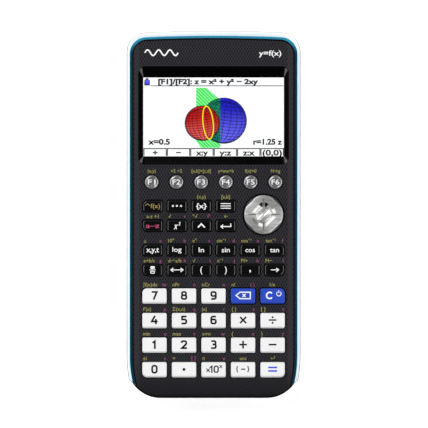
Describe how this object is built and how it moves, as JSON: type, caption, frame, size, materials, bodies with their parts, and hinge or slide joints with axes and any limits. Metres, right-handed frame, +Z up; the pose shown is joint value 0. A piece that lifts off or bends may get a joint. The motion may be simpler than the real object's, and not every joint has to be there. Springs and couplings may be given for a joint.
{
  "type": "graphing calculator",
  "caption": "Handheld graphing calculator with a colour display, press keys, a rocking direction pad and a battery cover, lying on its back.",
  "frame": {"origin": "on the table, under the middle of the calculator's outline, which lies on its back", "axes": "+Z up out of the keys, +Y towards the screen end, +X to the right as the keys are read"},
  "size_m": [0.089, 0.1886, 0.0186],
  "materials": {
    "shell_dark": "fine woven texture, satin",
    "shell_white": "fine spark-eroded texture",
    "accent_blue": "satin gloss",
    "key_white": "satin, softly crowned",
    "key_blue": "satin, softly crowned",
    "key_dark": "gloss",
    "key_silver": "satin plated plastic",
    "pad_silver": "brushed plated plastic",
    "pivot_plastic": "plain moulded",
    "window_clear": "clear, hard coated",
    "lcd_panel": "lit white picture area in a dark frame",
    "board_laminate": "green solder mask",
    "mat_rubber": "moulded silicone",
    "cell_sleeve": "printed sleeve, bare ends",
    "legend_white": "printed",
    "legend_dark": "printed",
    "legend_blue": "printed",
    "legend_yellow": "printed",
    "legend_pink": "printed",
    "screen_black": "printed picture element",
    "screen_red": "printed picture element",
    "screen_blue": "printed picture element",
    "screen_green": "printed picture element",
    "screen_yellow": "printed picture element",
    "screw_steel": "plated",
    "contact_metal": "nickel plated",
    "foot_rubber": "moulded rubber"
  },
  "bodies": {
    "root": {"rear_case": "shell_white", "front_case": "shell_dark", "accent_frame": "accent_blue", "screen_window": "window_clear", "lcd_module": "lcd_panel", "main_board": "board_laminate", "key_mat": "mat_rubber", "aaa_cell_1": "cell_sleeve", "aaa_cell_2": "cell_sleeve", "aaa_cell_3": "cell_sleeve", "aaa_cell_4": "cell_sleeve"},
    "key_7": {"key_7": "key_white"},
    "key_8": {"key_8": "key_white"},
    "key_9": {"key_9": "key_white"},
    "key_4": {"key_4": "key_white"},
    "key_5": {"key_5": "key_white"},
    "key_6": {"key_6": "key_white"},
    "key_multiply": {"key_multiply": "key_white"},
    "key_divide": {"key_divide": "key_white"},
    "key_1": {"key_1": "key_white"},
    "key_2": {"key_2": "key_white"},
    "key_3": {"key_3": "key_white"},
    "key_add": {"key_add": "key_white"},
    "key_subtract": {"key_subtract": "key_white"},
    "key_0": {"key_0": "key_white"},
    "key_point": {"key_point": "key_white"},
    "key_exponent": {"key_exponent": "key_white"},
    "key_negate": {"key_negate": "key_white"},
    "key_execute": {"key_execute": "key_white"},
    "key_delete": {"key_delete": "key_blue"},
    "key_clear": {"key_clear": "key_blue"},
    "key_shift": {"key_shift": "key_dark"},
    "key_option": {"key_option": "key_dark"},
    "key_variables": {"key_variables": "key_dark"},
    "key_menu": {"key_menu": "key_dark"},
    "key_alpha": {"key_alpha": "key_dark"},
    "key_square": {"key_square": "key_dark"},
    "key_power": {"key_power": "key_dark"},
    "key_exit": {"key_exit": "key_dark"},
    "key_variable_x": {"key_variable_x": "key_dark"},
    "key_log": {"key_log": "key_dark"},
    "key_ln": {"key_ln": "key_dark"},
    "key_sin": {"key_sin": "key_dark"},
    "key_cos": {"key_cos": "key_dark"},
    "key_tan": {"key_tan": "key_dark"},
    "key_fraction": {"key_fraction": "key_dark"},
    "key_convert": {"key_convert": "key_dark"},
    "key_open_bracket": {"key_open_bracket": "key_dark"},
    "key_close_bracket": {"key_close_bracket": "key_dark"},
    "key_comma": {"key_comma": "key_dark"},
    "key_store": {"key_store": "key_dark"},
    "key_f1": {"key_f1": "key_silver"},
    "key_f2": {"key_f2": "key_silver"},
    "key_f3": {"key_f3": "key_silver"},
    "key_f4": {"key_f4": "key_silver"},
    "key_f5": {"key_f5": "key_silver"},
    "key_f6": {"key_f6": "key_silver"},
    "pad_pivot": {"direction_pad_pivot": "pivot_plastic"},
    "direction_pad": {"direction_pad": "pad_silver"},
    "battery_cover": {"battery_cover": "shell_white"}
  },
  "joints": [
    {"name": "battery_cover_open", "type": "hinge", "parent": "root", "child": "battery_cover", "pos_m": [0, 0.0234, 0.0006], "axis": [-1, 0, 0], "range_deg": [0, 60]},
    {"name": "pad_tilt_up_down", "type": "hinge", "parent": "root", "child": "pad_pivot", "pos_m": [0.0258, -0.00015, 0.0136], "axis": [1, 0, 0], "range_deg": [-2.5, 2.5], "stiffness_Nm_per_rad": 0.15},
    {"name": "pad_tilt_left_right", "type": "hinge", "parent": "pad_pivot", "child": "direction_pad", "pos_m": [0.0258, -0.00015, 0.0136], "axis": [0, 1, 0], "range_deg": [-2.5, 2.5], "stiffness_Nm_per_rad": 0.15},
    {"name": "key_7_press", "type": "slide", "parent": "root", "child": "key_7", "axis": [0, 0, -1], "range_m": [0, 0.0012], "stiffness_N_per_m": 500, "springref_m": -0.001},
    {"name": "key_8_press", "type": "slide", "parent": "root", "child": "key_8", "axis": [0, 0, -1], "range_m": [0, 0.0012], "stiffness_N_per_m": 500, "springref_m": -0.001},
    {"name": "key_9_press", "type": "slide", "parent": "root", "child": "key_9", "axis": [0, 0, -1], "range_m": [0, 0.0012], "stiffness_N_per_m": 500, "springref_m": -0.001},
    {"name": "key_4_press", "type": "slide", "parent": "root", "child": "key_4", "axis": [0, 0, -1], "range_m": [0, 0.0012], "stiffness_N_per_m": 500, "springref_m": -0.001},
    {"name": "key_5_press", "type": "slide", "parent": "root", "child": "key_5", "axis": [0, 0, -1], "range_m": [0, 0.0012], "stiffness_N_per_m": 500, "springref_m": -0.001},
    {"name": "key_6_press", "type": "slide", "parent": "root", "child": "key_6", "axis": [0, 0, -1], "range_m": [0, 0.0012], "stiffness_N_per_m": 500, "springref_m": -0.001},
    {"name": "key_multiply_press", "type": "slide", "parent": "root", "child": "key_multiply", "axis": [0, 0, -1], "range_m": [0, 0.0012], "stiffness_N_per_m": 500, "springref_m": -0.001},
    {"name": "key_divide_press", "type": "slide", "parent": "root", "child": "key_divide", "axis": [0, 0, -1], "range_m": [0, 0.0012], "stiffness_N_per_m": 500, "springref_m": -0.001},
    {"name": "key_1_press", "type": "slide", "parent": "root", "child": "key_1", "axis": [0, 0, -1], "range_m": [0, 0.0012], "stiffness_N_per_m": 500, "springref_m": -0.001},
    {"name": "key_2_press", "type": "slide", "parent": "root", "child": "key_2", "axis": [0, 0, -1], "range_m": [0, 0.0012], "stiffness_N_per_m": 500, "springref_m": -0.001},
    {"name": "key_3_press", "type": "slide", "parent": "root", "child": "key_3", "axis": [0, 0, -1], "range_m": [0, 0.0012], "stiffness_N_per_m": 500, "springref_m": -0.001},
    {"name": "key_add_press", "type": "slide", "parent": "root", "child": "key_add", "axis": [0, 0, -1], "range_m": [0, 0.0012], "stiffness_N_per_m": 500, "springref_m": -0.001},
    {"name": "key_subtract_press", "type": "slide", "parent": "root", "child": "key_subtract", "axis": [0, 0, -1], "range_m": [0, 0.0012], "stiffness_N_per_m": 500, "springref_m": -0.001},
    {"name": "key_0_press", "type": "slide", "parent": "root", "child": "key_0", "axis": [0, 0, -1], "range_m": [0, 0.0012], "stiffness_N_per_m": 500, "springref_m": -0.001},
    {"name": "key_point_press", "type": "slide", "parent": "root", "child": "key_point", "axis": [0, 0, -1], "range_m": [0, 0.0012], "stiffness_N_per_m": 500, "springref_m": -0.001},
    {"name": "key_exponent_press", "type": "slide", "parent": "root", "child": "key_exponent", "axis": [0, 0, -1], "range_m": [0, 0.0012], "stiffness_N_per_m": 500, "springref_m": -0.001},
    {"name": "key_negate_press", "type": "slide", "parent": "root", "child": "key_negate", "axis": [0, 0, -1], "range_m": [0, 0.0012], "stiffness_N_per_m": 500, "springref_m": -0.001},
    {"name": "key_execute_press", "type": "slide", "parent": "root", "child": "key_execute", "axis": [0, 0, -1], "range_m": [0, 0.0012], "stiffness_N_per_m": 500, "springref_m": -0.001},
    {"name": "key_delete_press", "type": "slide", "parent": "root", "child": "key_delete", "axis": [0, 0, -1], "range_m": [0, 0.0012], "stiffness_N_per_m": 500, "springref_m": -0.001},
    {"name": "key_clear_press", "type": "slide", "parent": "root", "child": "key_clear", "axis": [0, 0, -1], "range_m": [0, 0.0012], "stiffness_N_per_m": 500, "springref_m": -0.001},
    {"name": "key_shift_press", "type": "slide", "parent": "root", "child": "key_shift", "axis": [0, 0, -1], "range_m": [0, 0.0012], "stiffness_N_per_m": 500, "springref_m": -0.001},
    {"name": "key_option_press", "type": "slide", "parent": "root", "child": "key_option", "axis": [0, 0, -1], "range_m": [0, 0.0012], "stiffness_N_per_m": 500, "springref_m": -0.001},
    {"name": "key_variables_press", "type": "slide", "parent": "root", "child": "key_variables", "axis": [0, 0, -1], "range_m": [0, 0.0012], "stiffness_N_per_m": 500, "springref_m": -0.001},
    {"name": "key_menu_press", "type": "slide", "parent": "root", "child": "key_menu", "axis": [0, 0, -1], "range_m": [0, 0.0012], "stiffness_N_per_m": 500, "springref_m": -0.001},
    {"name": "key_alpha_press", "type": "slide", "parent": "root", "child": "key_alpha", "axis": [0, 0, -1], "range_m": [0, 0.0012], "stiffness_N_per_m": 500, "springref_m": -0.001},
    {"name": "key_square_press", "type": "slide", "parent": "root", "child": "key_square", "axis": [0, 0, -1], "range_m": [0, 0.0012], "stiffness_N_per_m": 500, "springref_m": -0.001},
    {"name": "key_power_press", "type": "slide", "parent": "root", "child": "key_power", "axis": [0, 0, -1], "range_m": [0, 0.0012], "stiffness_N_per_m": 500, "springref_m": -0.001},
    {"name": "key_exit_press", "type": "slide", "parent": "root", "child": "key_exit", "axis": [0, 0, -1], "range_m": [0, 0.0012], "stiffness_N_per_m": 500, "springref_m": -0.001},
    {"name": "key_variable_x_press", "type": "slide", "parent": "root", "child": "key_variable_x", "axis": [0, 0, -1], "range_m": [0, 0.0012], "stiffness_N_per_m": 500, "springref_m": -0.001},
    {"name": "key_log_press", "type": "slide", "parent": "root", "child": "key_log", "axis": [0, 0, -1], "range_m": [0, 0.0012], "stiffness_N_per_m": 500, "springref_m": -0.001},
    {"name": "key_ln_press", "type": "slide", "parent": "root", "child": "key_ln", "axis": [0, 0, -1], "range_m": [0, 0.0012], "stiffness_N_per_m": 500, "springref_m": -0.001},
    {"name": "key_sin_press", "type": "slide", "parent": "root", "child": "key_sin", "axis": [0, 0, -1], "range_m": [0, 0.0012], "stiffness_N_per_m": 500, "springref_m": -0.001},
    {"name": "key_cos_press", "type": "slide", "parent": "root", "child": "key_cos", "axis": [0, 0, -1], "range_m": [0, 0.0012], "stiffness_N_per_m": 500, "springref_m": -0.001},
    {"name": "key_tan_press", "type": "slide", "parent": "root", "child": "key_tan", "axis": [0, 0, -1], "range_m": [0, 0.0012], "stiffness_N_per_m": 500, "springref_m": -0.001},
    {"name": "key_fraction_press", "type": "slide", "parent": "root", "child": "key_fraction", "axis": [0, 0, -1], "range_m": [0, 0.0012], "stiffness_N_per_m": 500, "springref_m": -0.001},
    {"name": "key_convert_press", "type": "slide", "parent": "root", "child": "key_convert", "axis": [0, 0, -1], "range_m": [0, 0.0012], "stiffness_N_per_m": 500, "springref_m": -0.001},
    {"name": "key_open_bracket_press", "type": "slide", "parent": "root", "child": "key_open_bracket", "axis": [0, 0, -1], "range_m": [0, 0.0012], "stiffness_N_per_m": 500, "springref_m": -0.001},
    {"name": "key_close_bracket_press", "type": "slide", "parent": "root", "child": "key_close_bracket", "axis": [0, 0, -1], "range_m": [0, 0.0012], "stiffness_N_per_m": 500, "springref_m": -0.001},
    {"name": "key_comma_press", "type": "slide", "parent": "root", "child": "key_comma", "axis": [0, 0, -1], "range_m": [0, 0.0012], "stiffness_N_per_m": 500, "springref_m": -0.001},
    {"name": "key_store_press", "type": "slide", "parent": "root", "child": "key_store", "axis": [0, 0, -1], "range_m": [0, 0.0012], "stiffness_N_per_m": 500, "springref_m": -0.001},
    {"name": "key_f1_press", "type": "slide", "parent": "root", "child": "key_f1", "axis": [0, 0, -1], "range_m": [0, 0.0012], "stiffness_N_per_m": 500, "springref_m": -0.001},
    {"name": "key_f2_press", "type": "slide", "parent": "root", "child": "key_f2", "axis": [0, 0, -1], "range_m": [0, 0.0012], "stiffness_N_per_m": 500, "springref_m": -0.001},
    {"name": "key_f3_press", "type": "slide", "parent": "root", "child": "key_f3", "axis": [0, 0, -1], "range_m": [0, 0.0012], "stiffness_N_per_m": 500, "springref_m": -0.001},
    {"name": "key_f4_press", "type": "slide", "parent": "root", "child": "key_f4", "axis": [0, 0, -1], "range_m": [0, 0.0012], "stiffness_N_per_m": 500, "springref_m": -0.001},
    {"name": "key_f5_press", "type": "slide", "parent": "root", "child": "key_f5", "axis": [0, 0, -1], "range_m": [0, 0.0012], "stiffness_N_per_m": 500, "springref_m": -0.001},
    {"name": "key_f6_press", "type": "slide", "parent": "root", "child": "key_f6", "axis": [0, 0, -1], "range_m": [0, 0.0012], "stiffness_N_per_m": 500, "springref_m": -0.001}
  ]
}
